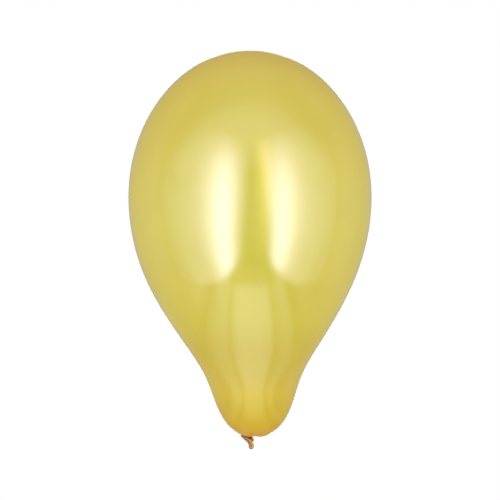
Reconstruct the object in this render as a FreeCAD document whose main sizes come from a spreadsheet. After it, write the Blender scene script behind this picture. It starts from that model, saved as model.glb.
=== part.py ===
"""Latex balloon, blown up and closed by an overhand knot in its own neck.

Frame: the origin is the pinched waist between the bubble and the knot, where a ribbon is tied.
+Z runs up to the crown, -Y is the front, where the tail's mouth points, and lengths are in millimetres.

One dipped film makes the whole balloon, so the nodes are its regions, in order from the crown down:
envelope, neck_gather, knot, tail_stem, tail_fan and rolled_lip. Each meets the next face to face.
"""
import FreeCAD, Part
import math
import os

import Sketcher

Vector = FreeCAD.Vector

# alias, value in millimetres or degrees, what it is
SIZES = [
    ("wall", 0.4, "thickness of the film's solid"),
    ("crown_z", 445.5, "height of the crown"),
    ("crown_r", 38.0, "outline pole beside the crown"),
    ("shoulder_r", 100.5, "outline pole at the shoulder"),
    ("shoulder_z", 412.0, "outline pole at the shoulder"),
    ("girth_r", 149.5, "outline pole above the widest girth"),
    ("girth_z", 306.5, "outline pole above the widest girth"),
    ("taper_r", 131.0, "outline pole where the bubble starts to taper"),
    ("taper_z", 181.0, "outline pole where the bubble starts to taper"),
    ("waist_r", 56.5, "outline pole above the small lower bulb"),
    ("waist_z", 79.0, "outline pole above the small lower bulb"),
    ("bulb_r", 51.5, "outline pole at the lower bulb"),
    ("bulb_z", 57.0, "outline pole at the lower bulb"),
    ("base_r", 30.0, "outline pole under the lower bulb"),
    ("base_z", 1.2, "height of the bubble's flat underside"),
    ("throat_r", 2.4, "outer radius of the throat"),
    ("throat_bend", 0.8, "bend from the underside into the throat"),
    ("waist_drop", 0.4, "depth of the pinched waist below the origin"),
    ("flute_r", 0.3, "radius of one pleat's flute"),
    ("flute_circle", 1.95, "radius of the circle of flutes"),
    ("flute_top", 0.1, "height at which the flutes start"),
    ("flute_count", 8, "number of flutes round the waist"),
    ("strand_r", 0.9, "radius of the bunched neck where it is knotted"),
    ("pitch", 1.9, "distance between neighbouring strands of the knot"),
    ("corner_r", 1.3, "bend radius of the knot's strand"),
    ("drop_z", -5.2, "height of the knot's lowest run"),
    ("bight_z", -1.35, "height of the top of the knot's side loop"),
    ("front_z", -1.9, "height of the wrap at its front left corner"),
    ("back_z", -2.5, "height of the wrap at its back left corner"),
    ("exit_z", -3.25, "height of the strand that leaves the knot"),
    ("exit_y", -2.9, "place of the face where the knot ends and the tail begins"),
    ("stem_length", 1.2, "length of the tail's narrow stem"),
    ("mouth_y", -11.6, "plane of the mouth"),
    ("arch_x", -10.0, "centre of the mouth's arch"),
    ("arch_z", -11.8, "centre of the mouth's arch"),
    ("arch_r", 12.0, "radius of the mouth's arch at its middle line"),
    ("arch_sweep", 78.0, "angle that the mouth's arch covers"),
    ("lip_gap", 1.35, "distance from the arch's middle line to the lip's centre"),
    ("lip_r", 1.1, "radius of the rolled lip"),
    ("fan_half", 1.65, "half the thickness of the tail at its mouth"),
    ("slit_half", 0.5, "half the width of the open slit between the lips"),
    ("slit_depth", 3.5, "depth of the slit"),
]


def make_sheet(doc):
    """Write the driving dimensions into the document's spreadsheet, one row each."""
    sheet = doc.addObject("Spreadsheet::Sheet", "Sizes")
    for row, (alias, value, meaning) in enumerate(SIZES, 1):
        sheet.set(f"A{row}", meaning)
        sheet.set(f"B{row}", str(value))
        sheet.setAlias(f"B{row}", alias)
    doc.recompute()
    return sheet


def new_body(doc, label):
    body = doc.addObject("PartDesign::Body", label)
    body.Label = label
    doc.recompute()
    return body


def new_sketch(body, role, name, height=None):
    """Attach a sketch to one of the body's own planes, raised along its normal by an expression."""
    planes = {feature.Role: feature for feature in body.Origin.OriginFeatures}
    sketch = body.newObject("Sketcher::SketchObject", name)
    sketch.AttachmentSupport = [(planes[role], "")]
    sketch.MapMode = "FlatFace"
    if height is not None:
        sketch.setExpression("AttachmentOffset.Base.z", height)
    return sketch


def bind(sketch, constraint, expression):
    """Add a dimension to a sketch and let the sheet drive it."""
    index = sketch.addConstraint(constraint)
    sketch.setExpression(f"Constraints[{index}]", expression)


def place(sketch, geometry, point, across, up):
    """Fix a point of a sketch, each coordinate by an expression, or on the axis if it is None."""
    where = sketch.getPoint(geometry, point)
    for kind, axis, value, expression in (("DistanceX", -2, where.x, across), ("DistanceY", -1, where.y, up)):
        if expression is None:
            sketch.addConstraint(Sketcher.Constraint("PointOnObject", geometry, point, axis))
        else:
            bind(sketch, Sketcher.Constraint(kind, -1, 1, geometry, point, value), expression)


def outline_poles(sheet):
    """The poles of the bubble's outline from the crown to the throat, each as two expressions."""
    names = [(None, "crown_z"), ("crown_r", "crown_z")]
    names += [(f"{part}_r", f"{part}_z") for part in ("shoulder", "girth", "taper", "waist", "bulb", "base")]
    poles = [(r and f"Sizes.{r}", f"Sizes.{z}") for r, z in names]
    poles.append(("Sizes.throat_r + Sizes.throat_bend", "Sizes.base_z"))
    points = [Vector(sheet.get(r) if r else 0, sheet.get(z), 0) for r, z in names]
    points.append(Vector(sheet.throat_r + sheet.throat_bend, sheet.base_z, 0))
    return poles, points


def inner_poles(sheet, poles, points):
    """Move each leg of the outline's polygon inwards by the film's wall, and its poles with them."""
    moved, places = [], []
    last = len(points) - 1
    for i, (pole, point) in enumerate(zip(poles, points)):
        legs = [points[j + 1] - points[j] for j in (max(i - 1, 0), min(i, last - 1))]
        sides = [Vector(leg.y, -leg.x, 0).normalize() for leg in legs]
        inward = (sides[0] + sides[1]).normalize()
        inward = inward / inward.dot(sides[0])
        across = pole[0] and f"{pole[0]} + {inward.x:.4f} * Sizes.wall"
        moved.append((across, f"{pole[1]} + {inward.y:.4f} * Sizes.wall"))
        places.append(point + inward * sheet.wall)
    return moved, places


def add_spline(sketch, poles, points):
    """Draw a cubic spline through its poles' polygon and let the sheet place every pole."""
    spans = len(points) - 3
    curve = Part.BSplineCurve()
    curve.buildFromPolesMultsKnots(points, [4] + [1] * (spans - 1) + [4], list(range(spans + 1)), False, 3)
    spline = sketch.addGeometry(curve, False)
    sketch.exposeInternalGeometry(spline)
    for i, (across, up) in enumerate(poles):
        place(sketch, spline + 1 + i, 3, across, up)
    return spline


def make_envelope(doc, sheet):
    """The bubble: the film's section, revolved about the balloon's axis, open at the throat."""
    body = new_body(doc, "envelope")
    section = new_sketch(body, "XZ_Plane", "film_section")
    poles, points = outline_poles(sheet)
    outside = add_spline(section, poles, points)
    inside = add_spline(section, *inner_poles(sheet, poles, points))
    centre = Vector(sheet.throat_r + sheet.throat_bend, sheet.base_z - sheet.throat_bend, 0)
    bends = []
    for radius in (sheet.throat_bend, sheet.throat_bend + sheet.wall):
        circle = Part.Circle(centre, Vector(0, 0, 1), radius)
        bends.append(section.addGeometry(Part.ArcOfCircle(circle, math.pi / 2, math.pi), False))
    for bend, spline in zip(bends, (outside, inside)):
        place(section, bend, 3, "Sizes.throat_r + Sizes.throat_bend", "Sizes.base_z - Sizes.throat_bend")
        section.addConstraint(Sketcher.Constraint("Coincident", bend, 1, spline, 2))
        section.addConstraint(Sketcher.Constraint("Horizontal", bend, 3, bend, 2))
    for ends in (((outside, 1), (inside, 1)), ((bends[0], 2), (bends[1], 2))):
        line = Part.LineSegment(section.getPoint(*ends[0]), section.getPoint(*ends[1]))
        edge = section.addGeometry(line, False)
        for point, end in enumerate(ends, 1):
            section.addConstraint(Sketcher.Constraint("Coincident", edge, point, *end))
    film = body.newObject("PartDesign::Revolution", "film")
    film.Profile = (section, [""])
    film.ReferenceAxis = (section, ["V_Axis"])
    film.Angle = 360
    return body


def make_neck_gather(doc, sheet):
    """The bunched film between throat and knot: a short waisted plug with flutes for the pleats."""
    body = new_body(doc, "neck_gather")
    section = new_sketch(body, "XZ_Plane", "waist_section")
    top, bottom = sheet.base_z - sheet.throat_bend, -sheet.waist_drop
    corners = [(0, bottom), (sheet.strand_r, bottom), (sheet.throat_r, top), (0, top)]
    places = [
        (None, "-Sizes.waist_drop"),
        ("Sizes.strand_r", "-Sizes.waist_drop"),
        ("Sizes.throat_r", "Sizes.base_z - Sizes.throat_bend"),
        (None, "Sizes.base_z - Sizes.throat_bend"),
    ]
    for i, corner in enumerate(corners):
        following = corners[(i + 1) % len(corners)]
        section.addGeometry(Part.LineSegment(Vector(*corner, 0), Vector(*following, 0)), False)
    for i in range(len(corners)):
        section.addConstraint(Sketcher.Constraint("Coincident", i, 2, (i + 1) % len(corners), 1))
    for i, expressions in enumerate(places):
        place(section, i, 1, *expressions)
    cone = body.newObject("PartDesign::Revolution", "waist")
    cone.Profile = (section, [""])
    cone.ReferenceAxis = (section, ["V_Axis"])
    cone.Angle = 360
    flute_circle = new_sketch(body, "XY_Plane", "flute_circle", "Sizes.flute_top")
    circle = Part.Circle(Vector(sheet.flute_circle, 0, 0), Vector(0, 0, 1), sheet.flute_r)
    flute_circle.addGeometry(circle, False)
    place(flute_circle, 0, 3, "Sizes.flute_circle", None)
    bind(flute_circle, Sketcher.Constraint("Radius", 0, sheet.flute_r), "Sizes.flute_r")
    doc.recompute()
    flute = body.newObject("PartDesign::Pocket", "flute")
    flute.Profile = (flute_circle, [""])
    flute.setExpression("Length", "Sizes.flute_top + Sizes.waist_drop")
    doc.recompute()
    if flute.Shape.Volume >= cone.Shape.Volume:
        raise RuntimeError("the flute cuts nothing")
    pleats = body.newObject("PartDesign::PolarPattern", "pleats")
    pleats.Originals = [flute]
    pleats.Axis = (flute_circle, ["N_Axis"])
    pleats.Angle = 360
    pleats.setExpression("Occurrences", "Sizes.flute_count")
    body.Tip = pleats
    return body


def rounded_path(points, radius):
    """A wire of straight runs through points, with each corner rounded by a tangent arc."""
    edges, start = [], points[0]
    for before, corner, after in zip(points, points[1:], points[2:]):
        back = (before - corner).normalize()
        ahead = (after - corner).normalize()
        half_turn = (math.pi - back.getAngle(ahead)) / 2
        cut = radius * math.tan(half_turn)
        inward = (back + ahead).normalize()
        middle = corner + inward * (radius / math.cos(half_turn) - radius)
        first, last = corner + back * cut, corner + ahead * cut
        edges.append(Part.LineSegment(start, first).toShape())
        edges.append(Part.Arc(first, middle, last).toShape())
        start = last
    edges.append(Part.LineSegment(start, points[-1]).toShape())
    return Part.Wire(edges)


def make_knot(doc, sheet):
    """The overhand knot: down, up in a side loop, once round the standing part, and out through the loop."""
    step = sheet.pitch
    route = [
        Vector(0, 0, -sheet.waist_drop),
        Vector(0, 0, sheet.drop_z),
        Vector(2 * step, 0, sheet.drop_z),
        Vector(2 * step, 0, sheet.bight_z),
        Vector(step, -step, sheet.bight_z),
        Vector(-step, -step, sheet.front_z),
        Vector(-step, step, sheet.back_z),
        Vector(step, step, sheet.exit_z),
        Vector(step, sheet.exit_y, sheet.exit_z),
    ]
    path = doc.addObject("Part::Feature", "knot_path")
    path.Shape = rounded_path(route, sheet.corner_r)
    strand = doc.addObject("Part::Circle", "strand_section")
    strand.Placement = FreeCAD.Placement(route[0], FreeCAD.Rotation(Vector(1, 0, 0), 180))
    strand.setExpression("Radius", "Sizes.strand_r")
    knot = doc.addObject("Part::Sweep", "knot")
    knot.Label = "knot"
    knot.Sections = [strand]
    knot.Spine = (path, [f"Edge{i + 1}" for i in range(len(path.Shape.Edges))])
    knot.Solid = True
    knot.Frenet = False
    doc.recompute()
    expected = math.pi * sheet.strand_r**2 * path.Shape.Length
    print(f"knot: {path.Shape.Length:.2f} mm of strand, volume {knot.Shape.Volume:.3f}, expected {expected:.3f}")
    return knot


def make_tail_stem(doc, sheet):
    """The bunched film just out of the knot, where the tail bends."""
    stem = doc.addObject("Part::Cylinder", "tail_stem")
    stem.Label = "tail_stem"
    stem.setExpression("Radius", "Sizes.strand_r")
    stem.setExpression("Height", "Sizes.stem_length")
    start = Vector(sheet.pitch, sheet.exit_y, sheet.exit_z)
    stem.Placement = FreeCAD.Placement(start, FreeCAD.Rotation(Vector(1, 0, 0), 90))
    stem.setExpression("Placement.Base.x", "Sizes.pitch")
    stem.setExpression("Placement.Base.y", "Sizes.exit_y")
    stem.setExpression("Placement.Base.z", "Sizes.exit_z")
    return stem


def polar(centre, radius, degrees):
    angle = math.radians(degrees)
    return centre + Vector(radius * math.cos(angle), radius * math.sin(angle), 0)


def add_arc(sketch, centre, radius, start, end):
    circle = Part.Circle(centre, Vector(0, 0, 1), radius)
    return sketch.addGeometry(Part.ArcOfCircle(circle, math.radians(start), math.radians(end)), False)


def arched_slot(sketch, sheet, half):
    """Draw a slot bent to the mouth's arch. Its half width is the sheet's cell named half."""
    centre = Vector(sheet.arch_x, sheet.arch_z, 0)
    width, sweep = sheet.get(half), sheet.arch_sweep
    outer = add_arc(sketch, centre, sheet.arch_r + width, 0, sweep)
    tip = add_arc(sketch, polar(centre, sheet.arch_r, sweep), width, sweep, sweep + 180)
    inner = add_arc(sketch, centre, sheet.arch_r - width, 0, sweep)
    foot = add_arc(sketch, polar(centre, sheet.arch_r, 0), width, 180, 360)
    for ends in ((outer, 2, tip, 1), (tip, 2, inner, 2), (inner, 1, foot, 1), (foot, 2, outer, 1)):
        sketch.addConstraint(Sketcher.Constraint("Tangent", *ends))
    place(sketch, outer, 3, "Sizes.arch_x", "Sizes.arch_z")
    place(sketch, foot, 3, "Sizes.arch_x + Sizes.arch_r", "Sizes.arch_z")
    across = "Sizes.arch_x + Sizes.arch_r * cos(Sizes.arch_sweep * 1 deg)"
    up = "Sizes.arch_z + Sizes.arch_r * sin(Sizes.arch_sweep * 1 deg)"
    place(sketch, tip, 3, across, up)
    bind(sketch, Sketcher.Constraint("Radius", foot, width), f"Sizes.{half}")
    bind(sketch, Sketcher.Constraint("Radius", inner, sheet.arch_r - width), f"Sizes.arch_r - Sizes.{half}")


def seat_pipe(body, kind, name, spine, ring):
    """Run the lip's round section along the lip's line, to add it to a body or cut its seat."""
    pipe = body.newObject(f"PartDesign::{kind}", name)
    pipe.Profile = (ring, [""])
    pipe.Spine = (spine, [])
    return pipe


def lip_sketches(body, sheet):
    """The lip's line in the mouth's plane, and its round section at the foot of the arch."""
    spine = new_sketch(body, "XZ_Plane", f"{body.Label}_lip_line", "-Sizes.mouth_y")
    arched_slot(spine, sheet, "lip_gap")
    ring = new_sketch(body, "XY_Plane", f"{body.Label}_lip_ring", "Sizes.arch_z")
    centre = Vector(sheet.arch_x + sheet.arch_r + sheet.lip_gap, sheet.mouth_y, 0)
    ring.addGeometry(Part.Circle(centre, Vector(0, 0, 1), sheet.lip_r), False)
    place(ring, 0, 3, "Sizes.arch_x + Sizes.arch_r + Sizes.lip_gap", "Sizes.mouth_y")
    bind(ring, Sketcher.Constraint("Radius", 0, sheet.lip_r), "Sizes.lip_r")
    return spine, ring


def make_tail_fan(doc, sheet):
    """The flattened end of the neck: it spreads from the stem to the arched mouth, slit at its end."""
    body = new_body(doc, "tail_fan")
    root = new_sketch(body, "XZ_Plane", "fan_root", "Sizes.stem_length - Sizes.exit_y")
    centre = Vector(sheet.pitch, sheet.exit_z, 0)
    turns = [-20, 100, 160, 280, 340]
    arcs = [add_arc(root, centre, sheet.strand_r, *span) for span in zip(turns, turns[1:])]
    for arc, following in zip(arcs, arcs[1:] + arcs[:1]):
        root.addConstraint(Sketcher.Constraint("Coincident", arc, 2, following, 1))
    place(root, arcs[0], 3, "Sizes.pitch", "Sizes.exit_z")
    for arc in arcs[1:3]:
        root.addConstraint(Sketcher.Constraint("Coincident", arc, 3, arcs[0], 3))
    root.addConstraint(Sketcher.Constraint("Equal", arcs[0], arcs[3]))
    bind(root, Sketcher.Constraint("Radius", arcs[0], sheet.strand_r), "Sizes.strand_r")
    mouth = new_sketch(body, "XZ_Plane", "fan_mouth", "-Sizes.mouth_y")
    arched_slot(mouth, sheet, "fan_half")
    doc.recompute()
    fan = body.newObject("PartDesign::AdditiveLoft", "fan")
    fan.Profile = (root, [""])
    fan.Sections = [(mouth, [""])]
    fan.Ruled = True
    doc.recompute()
    slit_outline = new_sketch(body, "XZ_Plane", "slit_outline", "-Sizes.mouth_y")
    arched_slot(slit_outline, sheet, "slit_half")
    slit = body.newObject("PartDesign::Pocket", "slit")
    slit.Profile = (slit_outline, [""])
    slit.setExpression("Length", "Sizes.slit_depth")
    doc.recompute()
    if slit.Shape.Volume >= fan.Shape.Volume:
        raise RuntimeError("the slit cuts nothing")
    body.Tip = seat_pipe(body, "SubtractivePipe", "lip_seat", *lip_sketches(body, sheet))
    return body


def make_rolled_lip(doc, sheet):
    """The rolled rim of the mouth: one round bead, all the way round the flattened opening."""
    body = new_body(doc, "rolled_lip")
    seat_pipe(body, "AdditivePipe", "bead", *lip_sketches(body, sheet))
    return body


def check(doc, parts):
    """Stop unless every object recomputed and every sub-part is one valid closed solid."""
    for item in doc.Objects:
        if {"Invalid", "Error"} & set(item.State):
            raise RuntimeError(f"{item.Label} failed: {item.State}")
    for part in parts:
        shape = part.Shape
        if shape.isNull() or not shape.isValid() or len(shape.Solids) != 1:
            raise RuntimeError(f"{part.Label} is not one valid solid")
        box = shape.BoundBox
        low, high = (box.XMin, box.YMin, box.ZMin), (box.XMax, box.YMax, box.ZMax)
        print(f"{part.Label:12} {shape.Volume:12.3f} mm3", [round(v, 2) for v in low + high])


def main():
    doc = FreeCAD.newDocument("latex_balloon")
    sheet = make_sheet(doc)
    makers = (make_envelope, make_neck_gather, make_knot, make_tail_stem, make_tail_fan, make_rolled_lip)
    parts = [make(doc, sheet) for make in makers]
    doc.recompute()
    check(doc, parts)
    os.makedirs("parts", exist_ok=True)
    for part in parts:
        part.Shape.exportStep(f"parts/{part.Label}.step")


main()
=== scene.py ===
"""Pearl-gold latex balloon: the film, its pleated neck, the knot, the tail and its rolled lip.

Shapes are worked out in millimetres in the model's frame (origin at the pinched waist, +Z to the crown,
-Y to the front) and turned into metres when a mesh is made. Materials, lights and camera are in metres.
"""
import math
import bmesh
import bpy
import numpy as np
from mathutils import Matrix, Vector


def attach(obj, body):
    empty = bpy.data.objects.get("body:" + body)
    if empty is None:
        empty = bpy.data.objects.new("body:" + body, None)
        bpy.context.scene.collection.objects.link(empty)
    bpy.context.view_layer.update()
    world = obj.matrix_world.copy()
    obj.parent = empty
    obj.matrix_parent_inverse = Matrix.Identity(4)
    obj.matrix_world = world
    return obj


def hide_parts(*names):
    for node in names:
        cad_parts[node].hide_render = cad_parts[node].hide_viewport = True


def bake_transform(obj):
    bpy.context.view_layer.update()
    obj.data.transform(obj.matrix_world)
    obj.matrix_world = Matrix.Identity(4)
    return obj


MM = 0.001
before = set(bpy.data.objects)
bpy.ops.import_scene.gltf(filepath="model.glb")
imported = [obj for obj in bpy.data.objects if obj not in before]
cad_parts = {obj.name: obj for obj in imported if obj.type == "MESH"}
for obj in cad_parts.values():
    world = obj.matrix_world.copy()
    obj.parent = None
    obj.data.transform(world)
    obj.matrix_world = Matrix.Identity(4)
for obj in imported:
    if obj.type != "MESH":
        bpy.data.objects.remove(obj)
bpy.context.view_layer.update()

# ---------------------------------------------------------------- sizes of the bubble, in millimetres

# Poles of the bubble's outline from the crown to the throat: distance from the axis, and height
OUTLINE = np.array([
    (0.0, 446.4), (38.0, 446.4), (100.5, 412.2), (149.5, 306.5), (131.0, 181.0),
    (57.0, 80.0), (50.6, 55.0), (30.6, 1.2), (3.2, 1.2),
])
# The rings crowd together towards the throat
BUBBLE_RINGS = 300
BUBBLE_CROWDING = 1.35
BUBBLE_AROUND = 256

# At the throat the film bends inwards and ends inside the neck's pleats
THROAT_R = 2.4
THROAT_BEND_R = 0.8
THROAT_BEND_ANGLES = range(100, 181, 10)
THROAT_EDGE = (0.93 * THROAT_R, -0.1)

# The lower bulb leans to +X: how far, between which heights this grows, and where it dies out at the throat
LEAN_X = 5.0
LEAN_FULL_Z, LEAN_TOP_Z = 20.0, 215.0
LEAN_POWER = 0.75
LEAN_THROAT_Z = (-2.0, 9.0)

# Creases run out from the throat: their count, reach and depth, and how far they stand off even spacing
CREASES = 21
CREASE_REACH = (8.0, 24.0)
CREASE_DEPTH = (0.12, 0.42)
CREASE_STRAY = 0.3
# A crease is this wide at the axis, widens with the distance from it, and fades from here on
CREASE_WIDTH = 0.35
CREASE_WIDENING = 0.055
CREASE_FADE_R = 2.0
# At the throat only this share of its depth is left, and all of it further out
CREASE_THROAT_SHARE = 0.35
CREASE_DEEPENS_R = (2.4, 5.0)

# The underside sags on the +X side of the throat: how far, and where this grows, fades and ends
SAG = 1.95
SAG_GROWS_X = (3.5, 14.0)
SAG_FADES_X = (18.0, 30.0)
SAG_FADES_Y = (7.2, 24.0)
SAG_FADES_Z = (4.0, 16.0)
# It is drawn up on the -X side
DRAWN_UP = 0.75
DRAWN_GROWS_X = (3.0, 11.5)
DRAWN_FADES_X = (14.5, 21.0)

# The gathered film hangs down behind the mouth's upper lip: how far, its middle and its radius
GATHERED = 1.9
GATHERED_X, GATHERED_Y = -3.9, -7.5
GATHERED_R = 6.5
GATHERED_GROWS_R = (2.6, 6.0)
GATHERED_FADES_Z = (6.0, 14.0)

# ---------------------------------------------------------------- sizes of the neck, knot and tail

# The pleats run from inside the throat down into the knot
PLEATS = 9
PLEAT_DEPTH = 0.2
PLEAT_PHASE = 0.4
PLEAT_TWIST = 0.5
PLEATS_TOP_Z = 1.3
PLEATS_LENGTH = 3.4
PLEATS_TOP_R = 3.6
PLEATS_WAIST_R = 2.2
PLEATS_WAIST_AT = 0.6
# The pleats' outline is a little three-cornered
PLEATS_UNEVEN = 0.04
PLEATS_CORNERS = 3
PLEATS_CORNER_PHASE = 1.0
PLEATS_RINGS = 22
PLEATS_AROUND = 144

# Poles of the knot's route: down from the waist, round the neck and out towards the tail
KNOT_ROUTE = [
    (0.0, 0.0, 0.3), (0.0, 0.0, -2.6), (0.3, 0.0, -4.8), (1.7, 0.0, -5.4), (3.0, 0.0, -4.8),
    (3.3, -0.1, -3.1), (3.1, -0.6, -1.6), (1.9, -1.8, -1.15), (0.0, -2.1, -1.4), (-1.8, -1.7, -1.75),
    (-2.2, 0.0, -2.05), (-1.8, 1.7, -2.4), (0.0, 2.1, -2.75), (1.7, 1.7, -3.05), (1.9, 0.0, -3.25),
    (1.9, -1.6, -3.25), (1.9, -2.9, -3.25),
]
KNOT_R = 1.24
# Swellings along the strand: radians of wave over its length, size, and phase
KNOT_SWELLINGS = ((17, 0.05, 0.0), (41, 0.03, 1.0))
KNOT_END_NARROWS = 0.2
KNOT_END_AT = (0.93, 1.0)
KNOT_LOBES = 7
KNOT_LOBE_DEPTH = 0.17
KNOT_LOBE_PHASE = 0.3
KNOT_TWIST = 5.0
KNOT_OVAL = 0.05
KNOT_OVAL_TWIST = 9.0
KNOT_RINGS = 260
KNOT_AROUND = 72

# The tail's stem starts at this point, where the knot's route ends
STEM_START = (1.9, -2.9, -3.25)
# The stem's film starts this far back inside the knot
STEM_IN_KNOT = 0.99
STEM_IN_KNOT_RINGS = 8
STEM_R = 0.98
STEM_WIDENING = 0.5
STEM_LOBES = 8
STEM_LOBE_DEPTH = 0.2
STEM_LOBE_PHASE = 0.2
STEM_LOBES_LOST = 0.6

# From the stem the film spreads to the mouth, a little late, and is fluted on the way
TAIL_FIRST_ANGLE = math.radians(-25)
TAIL_LATENESS = 1.15
TAIL_FIRST_RING = 0.02
TAIL_RINGS = 52
TAIL_AROUND = 240
FLUTES = 11
FLUTE_DEPTH = 0.17
FLUTE_RISE = 0.8
FLUTE_SWAY = 2.0
FLUTES_END = 1 / 1.1
# Inside the mouth the two layers of film meet in a slit: the loops that close it, by their width
SLIT_LOOPS = (0.66, 0.33, 0.0)

# The flattened mouth: its middle line is an arch in the front view, drawn in a little beyond its middle
ARCH_CENTRE = (-10.2, -9.85)
ARCH_R = 11.75
ARCH_SWEEP = 85.8
ARCH_BOW = -1.5
ARCH_BOW_LATENESS = 1.8
MOUTH_Y = -11.6
TIP_BACK = 1.3
# How many points the mouth's middle line and each of its round ends are worked out at
ARCH_POINTS = 400
MOUTH_END_POINTS = 60

# The rolled lip's radius at the foot and the tip, and how far its two sides press into each other
LIP_FOOT_R = 1.58
LIP_TIP_R = 0.64
LIP_TAPER = 1.3
LIPS_OVERLAP = 0.05
# The lower lip stands back from the upper one
LIP_SET_BACK = 0.5
# Unevenness round the mouth: number of waves, size as a share of the radius, and phase
LIP_WAVES = ((9, 0.030, 0.4), (16, 0.022, 2.1), (37, 0.010, 1.0), (83, 0.006, 0.0))
ROLL_SEAM_ANGLE = 3.6
ROLL_SEAM_DEPTH = 0.15
ROLL_SEAM_WIDTH = 0.24
LIP_RINGS = 480
LIP_AROUND = 40

# How rounded the lobes of bunched film are: 1 is a sine wave
LOBE_ROUNDNESS = 0.8
# Points closer than this, in metres, are one point
WELD_DISTANCE = 1e-7


# ---------------------------------------------------------------- curves and meshes

def ease(value, low, high):
    """0 at low, 1 at high, and smooth between."""
    t = np.clip((value - low) / (high - low), 0.0, 1.0)
    return t * t * (3 - 2 * t)


def angles_round(count, start=0.0):
    """Even angles once round, in radians."""
    return np.linspace(start, start + 2 * math.pi, count, endpoint=False)


def cubic_spline(poles, steps):
    """Points on the clamped uniform cubic B-spline with these poles, at parameters from 0 to 1."""
    spans = len(poles) - 3
    knots = np.concatenate([[0] * 3, np.linspace(0, 1, spans + 1), [1] * 3])
    result = []
    for t in steps:
        k = min(int(t * spans), spans - 1) + 3
        d = [np.array(poles[k - 3 + i], float) for i in range(4)]
        for r in range(1, 4):
            for i in range(3, r - 1, -1):
                low = knots[i + k - 3]
                a = (t - low) / (knots[i + 1 + k - r] - low)
                d[i] = (1 - a) * d[i - 1] + a * d[i]
        result.append(d[3])
    return np.array(result)


def even_points(line, count, closed=False):
    """Evenly spaced points along a line of points, which is joined end to end if closed."""
    if closed:
        line = np.concatenate([line, line[:1]])
    length = np.concatenate([[0], np.cumsum(np.linalg.norm(np.diff(line, axis=0), axis=1))])
    even = np.linspace(0, length[-1], count, endpoint=not closed)
    return np.stack([np.interp(even, length, line[:, axis]) for axis in range(3)], axis=1)


def directions_along(line, closed=False):
    """The direction of a line at each of its points."""
    along = np.roll(line, -1, axis=0) - np.roll(line, 1, axis=0)
    if not closed:
        along[0] = line[1] - line[0]
        along[-1] = line[-1] - line[-2]
    return along / np.linalg.norm(along, axis=1)[:, None]


def cross_directions(along, first_side):
    """Two directions across a line at each of its points, which turn as little as possible along it."""
    side = np.array(first_side, float)
    sides = []
    for direction in along:
        side = side - direction * side.dot(direction)
        side /= np.linalg.norm(side)
        sides.append(side)
    sides = np.array(sides)
    return sides, np.cross(along, sides)


def section_ring(centre, radii, angle, side, up):
    """A ring of points round a centre, in the plane of two directions."""
    return centre + radii[:, None] * (np.cos(angle)[:, None] * side + np.sin(angle)[:, None] * up)


def lobed(angle, lobes, depth, phase):
    """Radius of a bunched film's section: rounded lobes with sharp valleys between them."""
    wave = np.abs(np.sin(0.5 * lobes * angle + phase)) ** LOBE_ROUNDNESS
    return 1 - depth + depth * wave


def tube_faces(count, around, loop):
    """Four-sided faces between neighbouring rings, and from the last ring to the first of a loop."""
    faces = []
    for i in range(count if loop else count - 1):
        j = (i + 1) % count
        for k in range(around):
            n = (k + 1) % around
            faces.append((i * around + k, i * around + n, j * around + n, j * around + k))
    return faces


def surface(name, rings, cap_first=False, cap_last=False, loop=False):
    """A smooth mesh through closed rings of points, all with the same count, capped or joined end to end."""
    rings = np.asarray(rings, float)
    count, around, _ = rings.shape
    points = [tuple(p) for p in rings.reshape(-1, 3)]
    faces = tube_faces(count, around, loop)
    for wanted, ring in ((cap_first, 0), (cap_last, count - 1)):
        if wanted:
            centre = len(points)
            points.append(tuple(rings[ring].mean(axis=0)))
            faces += [(centre, ring * around + k, ring * around + (k + 1) % around) for k in range(around)]
    mesh = bpy.data.meshes.new(name)
    mesh.from_pydata([tuple(MM * c for c in p) for p in points], [], faces)
    mesh.validate()
    for face in mesh.polygons:
        face.use_smooth = True
    weld_and_turn_outwards(mesh)
    piece = bpy.data.objects.new(name, mesh)
    bpy.context.scene.collection.objects.link(piece)
    return piece


def weld_and_turn_outwards(mesh):
    """Join points that lie on each other, as the slit's do, and turn every face outwards."""
    work = bmesh.new()
    work.from_mesh(mesh)
    bmesh.ops.remove_doubles(work, verts=work.verts, dist=WELD_DISTANCE)
    bmesh.ops.recalc_face_normals(work, faces=work.faces)
    work.to_mesh(mesh)
    work.free()


# ---------------------------------------------------------------- the bubble

def lean(z):
    """How far the centre of the lower bulb stands to +X at a height."""
    grown = 1 - ease(z, LEAN_FULL_Z, LEAN_TOP_Z) ** LEAN_POWER
    return LEAN_X * grown * ease(z, *LEAN_THROAT_Z)


def creases(radius, angle):
    """Depth of the creases that run up from the throat over the bubble's underside."""
    draw = np.random.default_rng(7)
    width = CREASE_WIDTH + CREASE_WIDENING * radius
    deepened = CREASE_THROAT_SHARE + (1 - CREASE_THROAT_SHARE) * ease(radius, *CREASE_DEEPENS_R)
    depth = np.zeros_like(angle)
    for i in range(CREASES):
        middle = 2 * math.pi * (i + draw.uniform(-CREASE_STRAY, CREASE_STRAY)) / CREASES
        reach = draw.uniform(*CREASE_REACH)
        deep = draw.uniform(*CREASE_DEPTH)
        away = (angle - middle + math.pi) % (2 * math.pi) - math.pi
        across = radius * away / width
        left = (1 - ease(radius, CREASE_FADE_R, reach)) * deepened
        depth += deep * left * np.exp(-across**2)
    return depth


def sag(x, y, z):
    """How far the underside hangs down on one side of the throat; negative where it is drawn up."""
    down = SAG * ease(x, *SAG_GROWS_X) * (1 - ease(x, *SAG_FADES_X))
    up = DRAWN_UP * ease(-x, *DRAWN_GROWS_X) * (1 - ease(-x, *DRAWN_FADES_X))
    near = (1 - ease(np.abs(y), *SAG_FADES_Y)) * (1 - ease(z, *SAG_FADES_Z))
    return (down - up) * near


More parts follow.
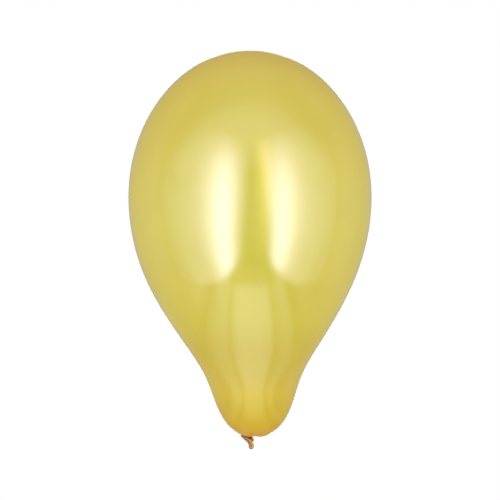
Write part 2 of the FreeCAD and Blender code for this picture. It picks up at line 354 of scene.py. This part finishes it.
def gathered(x, y, z):
    """How far the gathered film hangs down between the throat and the mouth's upper lip."""
    off = ((x - GATHERED_X) ** 2 + (y - GATHERED_Y) ** 2) / GATHERED_R**2
    near = ease(np.hypot(x, y), *GATHERED_GROWS_R) * (1 - ease(z, *GATHERED_FADES_Z))
    return GATHERED * np.exp(-off) * near


def bubble_profile():
    """The outline from just off the crown down to the throat, then round its bend to the film's edge."""
    steps = 1 - (1 - np.linspace(0, 1, BUBBLE_RINGS)) ** BUBBLE_CROWDING
    outline = cubic_spline(OUTLINE, steps)[1:]
    bend_centre = np.array([THROAT_R + THROAT_BEND_R, OUTLINE[-1][1] - THROAT_BEND_R])
    turns = np.radians(THROAT_BEND_ANGLES)
    bend = bend_centre + THROAT_BEND_R * np.stack([np.cos(turns), np.sin(turns)], axis=1)
    return np.concatenate([outline, bend, [THROAT_EDGE]])


def out_of(profile):
    """Directions out of the film along its profile, as distance from the axis and height."""
    slope = np.gradient(profile, axis=0)
    normals = np.stack([-slope[:, 1], slope[:, 0]], axis=1)
    return normals / np.linalg.norm(normals, axis=1)[:, None]


def make_bubble():
    """The blown-up film: its profile turned about the axis, leaning at the bulb and creased at the throat."""
    profile = bubble_profile()
    angle = angles_round(BUBBLE_AROUND)
    rings = []
    for (radius, z), (out_r, out_z) in zip(profile, out_of(profile)):
        inward = creases(radius, angle)
        r = radius - inward * out_r
        x = r * np.cos(angle) + lean(z)
        y = r * np.sin(angle)
        height = z - inward * out_z
        rings.append(np.stack([x, y, height - sag(x, y, height) - gathered(x, y, height)], axis=1))
    return surface("bubble_film", rings, cap_first=True, cap_last=True)


# ---------------------------------------------------------------- neck, knot and tail

def make_neck_pleats():
    """The film drawn together between the throat and the knot."""
    angle = angles_round(PLEATS_AROUND)
    uneven = 1 + PLEATS_UNEVEN * np.sin(PLEATS_CORNERS * angle + PLEATS_CORNER_PHASE)
    rings = []
    for t in np.linspace(0, 1, PLEATS_RINGS):
        radius = PLEATS_TOP_R + (PLEATS_WAIST_R - PLEATS_TOP_R) * ease(t, 0.0, PLEATS_WAIST_AT)
        section = radius * uneven * lobed(angle + PLEAT_TWIST * t, PLEATS, PLEAT_DEPTH, PLEAT_PHASE)
        height = np.full_like(angle, PLEATS_TOP_Z - PLEATS_LENGTH * t)
        rings.append(np.stack([section * np.cos(angle), section * np.sin(angle), height], axis=1))
    return surface("neck_pleats", rings, cap_first=True, cap_last=True)


def make_knot():
    """The neck's own overhand knot, bunched into lobes that twist along it."""
    # Four points of the spline for each ring keep the even spacing true
    line = even_points(cubic_spline(KNOT_ROUTE, np.linspace(0, 1, 4 * KNOT_RINGS)), KNOT_RINGS)
    sides, ups = cross_directions(directions_along(line), (1, 0, 0))
    angle = angles_round(KNOT_AROUND)
    rings = []
    for t, point, side, up in zip(np.linspace(0, 1, KNOT_RINGS), line, sides, ups):
        radius = KNOT_R + sum(size * math.sin(waves * t + phase) for waves, size, phase in KNOT_SWELLINGS)
        radius *= 1 - KNOT_END_NARROWS * ease(t, *KNOT_END_AT)
        section = radius * lobed(angle + KNOT_TWIST * t, KNOT_LOBES, KNOT_LOBE_DEPTH, KNOT_LOBE_PHASE)
        section *= 1 + KNOT_OVAL * np.sin(2 * angle + KNOT_OVAL_TWIST * t)
        rings.append(section_ring(point, section, angle, side, up))
    return surface("knot_strand", rings, cap_first=True, cap_last=True)


def arch(share):
    """Points of the mouth's middle line, from foot to tip, and the directions away from the arch's centre."""
    a = math.radians(ARCH_SWEEP) * share
    away = np.stack([np.cos(a), 0 * a, np.sin(a)], axis=-1)
    radius = ARCH_R + ARCH_BOW * np.sin(math.pi * share**ARCH_BOW_LATENESS)
    depth = MOUTH_Y + TIP_BACK * share**2
    centre = np.stack([ARCH_CENTRE[0] + 0 * a, depth, ARCH_CENTRE[1] + 0 * a], axis=-1)
    return centre + radius[:, None] * away, away


def lip_radius(share):
    """The rolled lip's radius along the arch."""
    return LIP_FOOT_R + (LIP_TIP_R - LIP_FOOT_R) * share**LIP_TAPER


def end_of_mouth(middle, gap, across, turn):
    """A half circle round one end of the mouth, from one side of it to the other."""
    along = np.array([-across[2], 0.0, across[0]])
    return middle + gap * (np.cos(turn) * across + np.sin(turn) * along)


def mouth_loop(count, scale=1.0):
    """Even points round the flattened mouth at the lip's centre: outer edge, tip, inner edge, foot."""
    share = np.linspace(0, 1, ARCH_POINTS)
    middle, away = arch(share)
    gap = scale * (lip_radius(share) - LIPS_OVERLAP)[:, None]
    turn = np.radians(np.linspace(0, 180, MOUTH_END_POINTS))[1:-1, None]
    tip = end_of_mouth(middle[-1], gap[-1], away[-1], turn)
    foot = end_of_mouth(middle[0], -gap[0], away[0], turn)
    set_back = np.sin(math.pi * share)[:, None] * np.array([0.0, scale * LIP_SET_BACK, 0.0])
    outer = middle + gap * away - set_back
    inner = middle - gap * away + set_back
    return even_points(np.concatenate([outer, tip, inner[::-1], foot]), count, closed=True)


def share_along_arch(points):
    """How far each point lies along the arch, 0 at the foot and 1 at the tip."""
    a = np.degrees(np.arctan2(points[:, 2] - ARCH_CENTRE[1], points[:, 0] - ARCH_CENTRE[0]))
    return np.clip(a / ARCH_SWEEP, 0, 1)


def flutes(ring, angle, t):
    """How far each point of the tail's ring stands out, as vectors in the front view."""
    along = np.roll(ring, -1, axis=0) - np.roll(ring, 1, axis=0)
    outward = np.stack([along[:, 2], 0 * angle, -along[:, 0]], axis=1)
    outward /= np.linalg.norm(outward, axis=1)[:, None]
    height = FLUTE_DEPTH * math.sin(math.pi * min(t / FLUTES_END, 1)) ** FLUTE_RISE
    return height * np.sin(FLUTES * angle + FLUTE_SWAY * np.sin(2 * angle))[:, None] * outward


def make_tail_film():
    """The two layers of film from the stem to the mouth, bunched at the stem and fluted as they spread."""
    mouth = mouth_loop(TAIL_AROUND)
    angle = angles_round(TAIL_AROUND, TAIL_FIRST_ANGLE)
    circle = np.stack([np.cos(angle), 0 * angle, np.sin(angle)], axis=1)
    start = np.array(STEM_START)
    section = STEM_R * lobed(angle, STEM_LOBES, STEM_LOBE_DEPTH, STEM_LOBE_PHASE)
    rings = []
    for back in np.linspace(STEM_IN_KNOT, 0, STEM_IN_KNOT_RINGS):
        rings.append(start + np.array([0, back, 0]) + section[:, None] * circle)
    for t in np.linspace(TAIL_FIRST_RING, 1, TAIL_RINGS):
        lobe_depth = STEM_LOBE_DEPTH * (1 - STEM_LOBES_LOST * t)
        section = (STEM_R + STEM_WIDENING * t) * lobed(angle, STEM_LOBES, lobe_depth, STEM_LOBE_PHASE)
        root = start + section[:, None] * circle
        ring = root + (mouth - root) * t**TAIL_LATENESS
        ring[:, 1] = root[:, 1] + (mouth[:, 1] - root[:, 1]) * t
        rings.append(ring + flutes(ring, angle, t))
    rings += [mouth_loop(TAIL_AROUND, scale) for scale in SLIT_LOOPS]
    return surface("tail_film", rings, cap_first=True)


def make_lip():
    """The rolled rim round the mouth: a bead, a little uneven along its length, with the roll's seam."""
    line = mouth_loop(LIP_RINGS)
    radii = lip_radius(share_along_arch(line))
    angle = angles_round(LIP_AROUND)
    seam = 1 - ROLL_SEAM_DEPTH * np.exp(-(((angle - ROLL_SEAM_ANGLE) / ROLL_SEAM_WIDTH) ** 2))
    front = np.array([0.0, -1.0, 0.0])
    rings = []
    for turn, point, along, radius in zip(angles_round(LIP_RINGS), line, directions_along(line, True), radii):
        wave = sum(size * math.sin(waves * turn + phase) for waves, size, phase in LIP_WAVES)
        across = np.cross(along, front)
        across /= np.linalg.norm(across)
        rings.append(section_ring(point, radius * (1 + wave) * seam, angle, across, front))
    return surface("lip_bead", rings, loop=True)


# ---------------------------------------------------------------- nodes

WHITE = (1, 1, 1)
BLACK = (0, 0, 0)
# Shares of open sky over a spot up to which it gets the full painted shade of a fold, and from which it is
# open film without painted shade
FULL_SHADE_OPENNESS, UNSHADED_OPENNESS = 0.3, 0.92


def feed(tree, socket, value):
    """Link a node's output to a socket, or set the socket to a plain value or colour."""
    if isinstance(value, bpy.types.NodeSocket):
        tree.links.new(value, socket)
    else:
        socket.default_value = (*value, 1) if socket.type == "RGBA" else value


def math_node(tree, operation, *inputs):
    """A number worked out from others."""
    node = tree.nodes.new("ShaderNodeMath")
    node.operation = operation
    for socket, value in zip(node.inputs, inputs):
        feed(tree, socket, value)
    return node.outputs["Value"]


def vector_node(tree, operation, *inputs):
    """A vector worked out from others, or a number for a distance or length."""
    node = tree.nodes.new("ShaderNodeVectorMath")
    node.operation = operation
    for socket, value in zip(node.inputs, inputs):
        feed(tree, socket, value)
    return node.outputs["Value" if operation in ("DISTANCE", "LENGTH") else "Vector"]


def split_vector(tree, vector):
    """The X, Y and Z of a vector."""
    node = tree.nodes.new("ShaderNodeSeparateXYZ")
    feed(tree, node.inputs["Vector"], vector)
    return node.outputs["X"], node.outputs["Y"], node.outputs["Z"]


def map_range(tree, value, low, high, top=1.0, smooth=True):
    """0 where a value is low, top where it is high, and smooth or straight between."""
    node = tree.nodes.new("ShaderNodeMapRange")
    node.interpolation_type = "SMOOTHSTEP" if smooth else "LINEAR"
    for socket, number in (("Value", value), ("From Min", low), ("From Max", high), ("To Max", top)):
        feed(tree, node.inputs[socket], number)
    return node.outputs["Result"]


def ramp(tree, value, stops, interpolation="EASE"):
    """The colour at a value from 0 to 1, by stops of position and colour."""
    node = tree.nodes.new("ShaderNodeValToRGB")
    elements = node.color_ramp.elements
    node.color_ramp.interpolation = interpolation
    while len(elements) < len(stops):
        elements.new(0.5)
    for element, (position, colour) in zip(elements, stops):
        element.position = position
        element.color = (*colour, 1)
    feed(tree, node.inputs["Fac"], value)
    return node.outputs["Color"]


def grey_ramp(tree, value, stops):
    """The brightness at a value from 0 to 1, straight between stops of position and brightness."""
    return ramp(tree, value, [(position, (level,) * 3) for position, level in stops], "LINEAR")


def mix(tree, share, first, second, blend="MIX"):
    """The first colour, turned into the second or multiplied by it as far as share says."""
    node = tree.nodes.new("ShaderNodeMix")
    node.data_type = "RGBA"
    node.blend_type = blend
    for socket, value in (("Factor", share), ("A", first), ("B", second)):
        feed(tree, node.inputs[socket], value)
    return node.outputs["Result"]


def noise(tree, place, scale, detail):
    """Cloudy noise over the piece."""
    node = tree.nodes.new("ShaderNodeTexNoise")
    for socket, value in (("Vector", place), ("Scale", scale), ("Detail", detail)):
        feed(tree, node.inputs[socket], value)
    return node.outputs["Fac"]


def fold_shade(tree, reach, samples):
    """Painted shade's mask: 1 on open film and 0 where films meet or fold within a reach in metres, where
    nearby film shuts out the light.
    """
    node = tree.nodes.new("ShaderNodeAmbientOcclusion")
    node.samples = samples
    feed(tree, node.inputs["Distance"], reach)
    return ramp(tree, node.outputs["AO"], [(FULL_SHADE_OPENNESS, BLACK), (UNSHADED_OPENNESS, WHITE)])


def place_on_piece(tree):
    """The place on the piece, in metres in the model's frame."""
    return tree.nodes.new("ShaderNodeTexCoord").outputs["Object"]


def new_material(name):
    """A new material, its node tree and its surface shader."""
    material = bpy.data.materials.new(name)
    material.use_nodes = True
    return material, material.node_tree, material.node_tree.nodes["Principled BSDF"]


# ---------------------------------------------------------------- the bubble's material

# The film's colour by its share of this height, from the throat to the crown
FILM_TOP_Z = 0.4455
FILM_COLOURS = [
    (0.0, (0.60, 0.335, 0.004)),
    (0.07, (0.645, 0.455, 0.006)),
    (0.12, (0.68, 0.505, 0.008)),
    (0.20, (0.66, 0.525, 0.015)),
    (0.33, (0.70, 0.605, 0.032)),
    (0.60, (0.70, 0.63, 0.040)),
    (0.85, (0.70, 0.61, 0.040)),
    (1.0, (0.67, 0.545, 0.045)),
]
BLOTCH_SCALE, BLOTCH_DETAIL = 22, 4
BLOTCH_STRENGTH = 0.10
# Near the tie the film is gathered and thick: the middle of that place, and where it starts and is full
THICK_MIDDLE = (-0.0035, -0.006, 0.0)
THICK_FROM, THICK_FULL = 0.017, 0.0085
THICK_COLOUR = (0.68, 0.36, 0.07)
# Painted shade: dark brown where films meet or fold and nearby film shuts out the light; how far it looks,
# and its samples
FILM_FOLD_SHADE = (0.20, 0.065, 0.003)
FILM_SHADE_REACH = 0.003
FILM_SHADE_SAMPLES = 4

FILM_IOR = 2.0
FILM_ROUGHNESS = 0.13
# Down the lower bulb the gloss grows broader and yellower
LOW_FROM_Z, LOW_FULL_Z = 0.09, 0.006
LOW_ROUGHENING = 0.09
LOW_TINTS = [(0.0, WHITE), (0.61, (1, 1, 0.56)), (0.88, (1, 1, 0.42)), (1.0, (0.92, 0.88, 0.2))]
# It is nearly gone at the tie and weak on the underside
MATT_FROM_Z, MATT_FULL_Z = 0.011, 0.001
UNDERSIDE_MATT = 0.85
GLOSS = 0.5
GLOSS_LOST = 0.48


def film_colour(tree, place, height, thick):
    """Even gold by height, faintly blotched, deeper where the film is thick, with painted shade of dark brown
    where films meet or fold.
    """
    gold = ramp(tree, map_range(tree, height, 0.0, FILM_TOP_Z, smooth=False), FILM_COLOURS)
    blotches = noise(tree, place, BLOTCH_SCALE, BLOTCH_DETAIL)
    blotched = mix(tree, BLOTCH_STRENGTH, gold, blotches, "MULTIPLY")
    thickened = mix(tree, thick, blotched, THICK_COLOUR)
    # Painted shade, dark brown, where nearby film shuts out the light
    return mix(tree, fold_shade(tree, FILM_SHADE_REACH, FILM_SHADE_SAMPLES), FILM_FOLD_SHADE, thickened)


def film_gloss(tree, skin, height, thick):
    """A pearly gloss that changes down the lower bulb and is nearly gone at the tie."""
    low = map_range(tree, height, LOW_FROM_Z, LOW_FULL_Z)
    underside = map_range(tree, height, MATT_FROM_Z, MATT_FULL_Z, top=UNDERSIDE_MATT)
    matt = math_node(tree, "MAXIMUM", thick, underside)
    feed(tree, skin.inputs["IOR"], FILM_IOR)
    feed(tree, skin.inputs["Roughness"], math_node(tree, "MULTIPLY_ADD", low, LOW_ROUGHENING, FILM_ROUGHNESS))
    feed(tree, skin.inputs["Specular Tint"], ramp(tree, low, LOW_TINTS))
    feed(tree, skin.inputs["Specular IOR Level"], math_node(tree, "MULTIPLY_ADD", matt, -GLOSS_LOST, GLOSS))


def film_material():
    """Pearl latex stretched thin."""
    material, tree, skin = new_material("pearl_film")
    place = place_on_piece(tree)
    height = split_vector(tree, place)[2]
    from_tie = vector_node(tree, "DISTANCE", place, THICK_MIDDLE)
    thick = map_range(tree, from_tie, THICK_FROM, THICK_FULL)
    feed(tree, skin.inputs["Base Color"], film_colour(tree, place, height, thick))
    film_gloss(tree, skin, height, thick)
    return material


# ---------------------------------------------------------------- the neck's and the lip's materials

NECK_IOR = 1.5
NECK_ROUGHNESS = 0.4
# Painted shade where films meet or fold: how far it looks, and its samples
NECK_SHADE_REACH = 0.005
NECK_SHADE_SAMPLES = 8
CLOUD_SCALE, CLOUD_DETAIL = 450, 4
CLOUD_STRENGTH = 0.3
WRINKLE_SCALE, WRINKLE_DETAIL = 2200, 3
WRINKLE_STRENGTH = 0.25
WRINKLE_HEIGHT = 0.00006
# Distance from the arch's centre, in the front view, at which the inner side's painted shade turns to the
# outer side's colour
INNER_R, OUTER_R = 0.0100, 0.0122
# The mouth's two ends get painted shade: their heights, and the shade's tones by share of the way between
# them
FOOT_Z, TIP_Z = -0.0128, 0.0025
END_SHADE_TONES = [(0.0, (0.30, 0.34, 0.70)), (0.14, WHITE), (0.82, WHITE), (1.0, (0.42, 0.34, 0.30))]


def lit_outer_side(tree, place):
    """0 on the inner side of the mouth's arch, which gets painted shade, and 1 on its lit outer side."""
    to_centre = (-MM * ARCH_CENTRE[0], 0, -MM * ARCH_CENTRE[1])
    from_centre = vector_node(tree, "MULTIPLY_ADD", place, (1, 0, 1), to_centre)
    return map_range(tree, vector_node(tree, "LENGTH", from_centre), INNER_R, OUTER_R, smooth=False)


def shade_mouth_ends(tree, place, colour):
    """A colour, toned down by painted shade at the two ends of the mouth."""
    share = map_range(tree, split_vector(tree, place)[2], FOOT_Z, TIP_Z, smooth=False)
    return mix(tree, 1.0, colour, ramp(tree, share, END_SHADE_TONES), "MULTIPLY")


def fine_wrinkles(tree, place):
    """The normal of a finely wrinkled skin."""
    node = tree.nodes.new("ShaderNodeBump")
    feed(tree, node.inputs["Strength"], WRINKLE_STRENGTH)
    feed(tree, node.inputs["Distance"], WRINKLE_HEIGHT)
    feed(tree, node.inputs["Height"], noise(tree, place, WRINKLE_SCALE, WRINKLE_DETAIL))
    return node.outputs["Normal"]


def neck_material(name, colour, shade, crevice_shade, ends=False):
    """Thick, unstretched latex: faintly clouded, with fine wrinkles; painted shade of deeper orange where
    films meet or fold.

    shade is the painted shade on the inner side of the mouth's arch, which faces down and away from the
    light, and the colour after it is the painted shade where films meet or fold. ends paints shade on the two
    ends of the mouth.
    """
    material, tree, skin = new_material(name)
    place = place_on_piece(tree)
    # Painted shade on the inner side of the arch, which faces down and away from the light
    tint = ramp(tree, lit_outer_side(tree, place), [(0.0, shade), (1.0, colour)])
    clouds = noise(tree, place, CLOUD_SCALE, CLOUD_DETAIL)
    clouded = mix(tree, CLOUD_STRENGTH, tint, clouds, "MULTIPLY")
    # Painted shade, deep orange-brown, where films meet or fold
    base = mix(tree, fold_shade(tree, NECK_SHADE_REACH, NECK_SHADE_SAMPLES), crevice_shade, clouded)
    if ends:
        # Painted shade on the mouth's two ends: bluish grey at the foot and brown at the tip
        base = shade_mouth_ends(tree, place, base)
    feed(tree, skin.inputs["Base Color"], base)
    feed(tree, skin.inputs["Normal"], fine_wrinkles(tree, place))
    feed(tree, skin.inputs["Roughness"], NECK_ROUGHNESS)
    feed(tree, skin.inputs["IOR"], NECK_IOR)
    return material


# ---------------------------------------------------------------- camera and lights

CAMERA_DISTANCE = 2.6
CAMERA_TARGET = Vector((0.0, 0.0, 0.2155))
SEEN_WIDTH = 0.5761
SENSOR = 36.0

LIGHT_CENTRE = Vector((0.0, 0.0, 0.2))
# Shares of a light's height between which its pattern moves sideways, going down
WAIST_FROM, WAIST_FULL = 0.5, 0.28

# Brightness of each light by azimuth across it and by elevation up it, in degrees from the light centre;
# azimuth 0 is straight in front
LEFT_ACROSS = [
    (-83, 0.04), (-74, 0.10), (-65, 0.14), (-52, 0.20), (-45.5, 0.28), (-39, 0.42), (-33.5, 0.60),
    (-28.5, 0.84), (-24.5, 0.97), (-20.3, 0.95), (-17.2, 0.82), (-12.8, 0.53), (-8.3, 0.27), (-4, 0.08),
    (-1, 0.0),
]
LEFT_UP = [
    (-42, 0.0), (-39.4, 0.25), (-37, 0.68), (-34.7, 0.9), (-32, 1.0), (-3, 1.0), (5, 0.97), (14.5, 0.88),
    (24, 0.64), (33.5, 0.32), (38.3, 0.17), (43, 0.04), (46, 0.0),
]
RIGHT_ACROSS = [
    (9.5, 0.0), (12, 0.10), (14.2, 0.22), (16.4, 0.40), (18.6, 0.60), (21, 0.80), (25, 0.98), (28.5, 1.0),
    (31.5, 0.94), (34, 0.84), (38, 0.66), (42.5, 0.48), (47.5, 0.36), (57, 0.23), (74, 0.14), (83, 0.07),
]
RIGHT_UP = [
    (-40, 0.0), (-37, 0.15), (-34.7, 0.48), (-32.4, 0.78), (-30, 0.93), (-27, 1.0), (-5, 1.0), (5, 0.95),
    (14.5, 0.84), (24, 0.58), (33.5, 0.30), (38.3, 0.17), (43, 0.04), (46, 0.0),
]
WARM_ACROSS = [(3, 0.0), (6, 0.35), (9, 0.85), (13, 1.0), (16, 0.8), (20, 0.0)]
WARM_UP = [(-32, 0.0), (-12, 0.5), (8, 0.9), (22, 1.0), (34, 0.7), (41, 0.0)]
OVERHEAD_ACROSS = [
    (-70, 0.2), (-50, 0.6), (-30, 0.9), (-8, 1.0), (12, 1.0), (30, 0.85), (50, 0.5), (70, 0.15),
]
OVERHEAD_UP = [(16, 0.0), (25, 0.4), (32, 0.7), (42, 1.0), (52, 1.0), (60, 0.78), (70, 0.35), (85, 0.1)]
LEFT_LOW_ACROSS = [(-94, 0.0), (-85, 0.3), (-77, 1.0), (-66, 1.0), (-58, 0.4), (-54, 0.0)]
RIGHT_LOW_ACROSS = [(54, 0.0), (60, 0.5), (68, 1.0), (77, 1.0), (86, 0.3), (94, 0.0)]
LOW_UP = [(-51, 0.0), (-47, 0.8), (-42, 1.0), (-38, 0.7), (-33, 0.3), (-28, 0.0)]
# The card under the balloon: three strips with narrow gaps, a dark border, and the table round it
CARD_ACROSS = [
    (-68, 0.10), (-46, 0.10), (-44, 0.0), (-39.6, 0.0), (-37, 0.38), (-33.8, 0.58), (-29, 0.72),
    (-24.8, 0.72), (-22.8, 0.48), (-20.4, 0.46), (-18, 0.78), (-15, 0.94), (-10.8, 1.04), (-1, 1.0),
    (10, 0.96), (16, 0.90), (20, 0.78), (21.8, 0.42), (24.4, 0.30), (27, 0.42), (30, 0.52), (34, 0.54),
    (36.9, 0.42), (39.2, 0.0), (44, 0.0), (46, 0.10), (68, 0.10),
]
CARD_UP = [
    (-150, 0.05), (-115, 0.15), (-95, 0.40), (-75, 0.60), (-62, 0.9), (-50, 1.05), (-42.6, 1.0),
    (-40.6, 0.38), (-33, 0.15), (-28, 0.0),
]
BACK_ACROSS = [(170, 1.0), (190, 1.0)]
BACK_UP = [(-25, 1.0), (10, 1.0), (32, 0.3)]


def make_camera():
    """A level camera straight in front."""
    data = bpy.data.cameras.new("camera")
    data.sensor_width = SENSOR
    data.lens = SENSOR * CAMERA_DISTANCE / SEEN_WIDTH
    camera = bpy.data.objects.new("camera", data)
    camera.location = CAMERA_TARGET + Vector((0, -CAMERA_DISTANCE, 0))
    camera.rotation_euler = (math.radians(90), 0, 0)
    bpy.context.scene.collection.objects.link(camera)
    bpy.context.scene.camera = camera


def light_pattern(tree, across, up, taper, slant, waist):
    """Brightness over a light's face, by stops from 0 to 1 across it and up it.

    taper draws the pattern in towards the bottom, slant lowers its lower edge to one side, and waist moves
    its lower half sideways.
    """
    face = tree.nodes.new("ShaderNodeNewGeometry").outputs["Parametric"]
    u, v, _ = split_vector(tree, face)
    peak = max(across, key=lambda stop: stop[1])[0]
    from_peak = math_node(tree, "SUBTRACT", u, peak)
    spread = math_node(tree, "MULTIPLY_ADD", math_node(tree, "SUBTRACT", 0.5, v), taper, 1.0)
    tapered = math_node(tree, "MULTIPLY_ADD", from_peak, spread, peak)
    lower_half = map_range(tree, v, WAIST_FROM, WAIST_FULL)
    moved = math_node(tree, "MULTIPLY_ADD", lower_half, waist, tapered)
    drop = math_node(tree, "MULTIPLY", from_peak, math_node(tree, "SUBTRACT", 1.0, v))
    slanted = math_node(tree, "MULTIPLY_ADD", drop, slant, v)
    return math_node(tree, "MULTIPLY", grey_ramp(tree, moved, across), grey_ramp(tree, slanted, up))


def across_face(stops, facing):
    """A light's two edges in one direction, at unit distance, and its stops as shares between them."""
    offsets = [math.tan(math.radians(angle - facing)) for angle, _ in stops]
    low, high = offsets[0], offsets[-1]
    return low, high, [((offset - low) / (high - low), level) for offset, (_, level) in zip(offsets, stops)]


def softbox(name, facing, across, up, radiance, distance, colour=WHITE, taper=0.0, slant=0.0, waist=0.0):
    """A flat soft light facing the balloon. across and up: (angle in degrees, brightness) over its face."""
    azimuth, elevation = (math.radians(a) for a in facing)
    away = Vector((
        math.sin(azimuth) * math.cos(elevation),
        -math.cos(azimuth) * math.cos(elevation),
        math.sin(elevation),
    ))
    turn = away.to_track_quat("Z", "Y")
    left, right, across = across_face(across, facing[0])
    low, high, up = across_face(up, facing[1])
    data = bpy.data.lights.new(name, "AREA")
    data.shape = "RECTANGLE"
    data.size = distance * (right - left)
    data.size_y = distance * (high - low)
    data.color = colour
    data.energy = radiance * math.pi * data.size * data.size_y
    data.use_nodes = True
    strength = light_pattern(data.node_tree, across, up, taper, slant, waist)
    feed(data.node_tree, data.node_tree.nodes["Emission"].inputs["Strength"], strength)
    lamp = bpy.data.objects.new(name, data)
    lamp.location = LIGHT_CENTRE + distance * (turn @ Vector(((left + right) / 2, (low + high) / 2, 1.0)))
    lamp.rotation_euler = turn.to_euler()
    lamp.visible_camera = False
    lamp.visible_diffuse = False
    bpy.context.scene.collection.objects.link(lamp)


def make_lights():
    """Two tall panels and a warm strip in front, one light overhead, and weaker ones below and behind."""
    softbox("left_panel", (-38, 0), LEFT_ACROSS, LEFT_UP, radiance=6.8, distance=0.75,
            colour=(0.86, 0.80, 1.0), taper=0.55, slant=-0.42, waist=0.015)
    softbox("right_panel", (42, 0), RIGHT_ACROSS, RIGHT_UP, radiance=5.9, distance=0.75,
            colour=(0.88, 0.82, 1.0), taper=0.75, slant=0.34, waist=-0.018)
    softbox("warm_strip", (12, 10), WARM_ACROSS, WARM_UP, radiance=1.85, distance=0.9,
            colour=(1.0, 0.72, 0.16))
    softbox("overhead", (0, 50), OVERHEAD_ACROSS, OVERHEAD_UP, radiance=0.9, distance=1.5)
    softbox("left_low", (-76, -40), LEFT_LOW_ACROSS, LOW_UP, radiance=0.45, distance=1.2)
    softbox("right_low", (76, -40), RIGHT_LOW_ACROSS, LOW_UP, radiance=0.2, distance=1.2)
    softbox("low_card", (0, -89.9), CARD_ACROSS, CARD_UP, radiance=1.25, distance=0.35)
    softbox("back_panel", (180, 5), BACK_ACROSS, BACK_UP, radiance=2.5, distance=2.0)


# ---------------------------------------------------------------- the room

# The room as the gloss sees it: brightness by elevation in degrees, and by depth from the front to the back
ROOM_BY_HEIGHT = [
    (-90, 0.26), (-50, 0.25), (-35, 0.34), (-20, 0.54), (0, 0.56), (15, 0.50), (30, 0.38), (45, 0.36),
    (60, 0.33), (90, 0.42),
]
ROOM_BY_DEPTH = [(-1.0, 1.0), (-0.15, 1.05), (0.0, 1.35), (0.2, 1.5), (0.4, 1.3), (0.64, 0.95), (1.0, 0.75)]
# The light that the film's own colour gets: greener from the front and back than from all round
LIGHT_ROUND = (1.07, 0.78, 1.0)
LIGHT_DEPTH = (0.90, 1.17, 0.9)

FLOOR_Z = -0.36
FLOOR_HALF = 2.3
FLOOR_COLOUR = (0.80, 0.86, 0.76)
FLOOR_ROUGHNESS = 0.9
FLOOR_GLOW = 0.22


def room_for_gloss(tree, y, z):
    """The room's brightness by direction, as reflections see it."""
    height = math_node(tree, "MULTIPLY_ADD", z, 0.5, 0.5)
    depth = math_node(tree, "MULTIPLY_ADD", y, 0.5, 0.5)
    height_stops = [(0.5 + 0.5 * math.sin(math.radians(a)), level) for a, level in ROOM_BY_HEIGHT]
    depth_stops = [(0.5 + 0.5 * place, level) for place, level in ROOM_BY_DEPTH]
    by_height = grey_ramp(tree, height, height_stops)
    by_depth = grey_ramp(tree, depth, depth_stops)
    return math_node(tree, "MULTIPLY", by_height, by_depth)


def make_world():
    """A pale room: white to the camera, and its light kept apart for the film's colour and for its gloss."""
    world = bpy.data.worlds.new("studio")
    bpy.context.scene.world = world
    world.use_nodes = True
    world.cycles.sampling_method = "NONE"
    tree = world.node_tree
    tree.nodes.clear()
    _, y, z = split_vector(tree, tree.nodes.new("ShaderNodeTexCoord").outputs["Generated"])
    for_colour = mix(tree, math_node(tree, "MULTIPLY", y, y), LIGHT_ROUND, LIGHT_DEPTH)
    path = tree.nodes.new("ShaderNodeLightPath")
    room = mix(tree, path.outputs["Is Glossy Ray"], for_colour, room_for_gloss(tree, y, z))
    background = tree.nodes.new("ShaderNodeBackground")
    feed(tree, background.inputs["Color"], mix(tree, path.outputs["Is Camera Ray"], room, WHITE))
    output = tree.nodes.new("ShaderNodeOutputWorld")
    feed(tree, output.inputs["Surface"], background.outputs["Background"])


def make_floor():
    """A plain pale floor, well under the hanging balloon."""
    mesh = bpy.data.meshes.new("floor")
    corners = [(-1, -1), (1, -1), (1, 1), (-1, 1)]
    mesh.from_pydata([(FLOOR_HALF * x, FLOOR_HALF * y, FLOOR_Z) for x, y in corners], [], [(0, 1, 2, 3)])
    floor = bpy.data.objects.new("floor", mesh)
    material, tree, paint = new_material("pale_floor")
    feed(tree, paint.inputs["Base Color"], FLOOR_COLOUR)
    feed(tree, paint.inputs["Roughness"], FLOOR_ROUGHNESS)
    feed(tree, paint.inputs["Specular IOR Level"], 0.0)
    feed(tree, paint.inputs["Emission Color"], WHITE)
    feed(tree, paint.inputs["Emission Strength"], FLOOR_GLOW)
    mesh.materials.append(material)
    floor.visible_glossy = False
    floor.visible_shadow = False
    bpy.context.scene.collection.objects.link(floor)


# ---------------------------------------------------------------- the scene

def dress(piece, material, slot_name, *nodes):
    """Give a piece its material, and hide the imported parts for the nodes that it stands for; slot_name is
    not used.
    """
    piece.data.materials.append(material)
    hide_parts(*nodes)


film = film_material()
neck_film = neck_material("neck_film", colour=(0.70, 0.32, 0.03), shade=(0.45, 0.22, 0.03),
                          crevice_shade=(0.24, 0.075, 0.002))
lip_film = neck_material("lip_film", colour=(0.67, 0.345, 0.075), shade=(0.32, 0.185, 0.042),
                         crevice_shade=(0.22, 0.075, 0.004), ends=True)

bubble = make_bubble()
dress(bubble, film, "film", "envelope")
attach(bubble, "bubble")

pleats = make_neck_pleats()
dress(pleats, neck_film, "neck_film", "neck_gather")
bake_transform(pleats)

knot = make_knot()
dress(knot, neck_film, "neck_film", "knot")
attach(knot, "knot")

tail = make_tail_film()
dress(tail, neck_film, "neck_film", "tail_stem", "tail_fan")
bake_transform(tail)

lip = make_lip()
dress(lip, lip_film, "lip_film", "rolled_lip")
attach(lip, "tail")

make_camera()
make_lights()
make_world()
make_floor()
bpy.context.scene.view_settings.view_transform = "Standard"
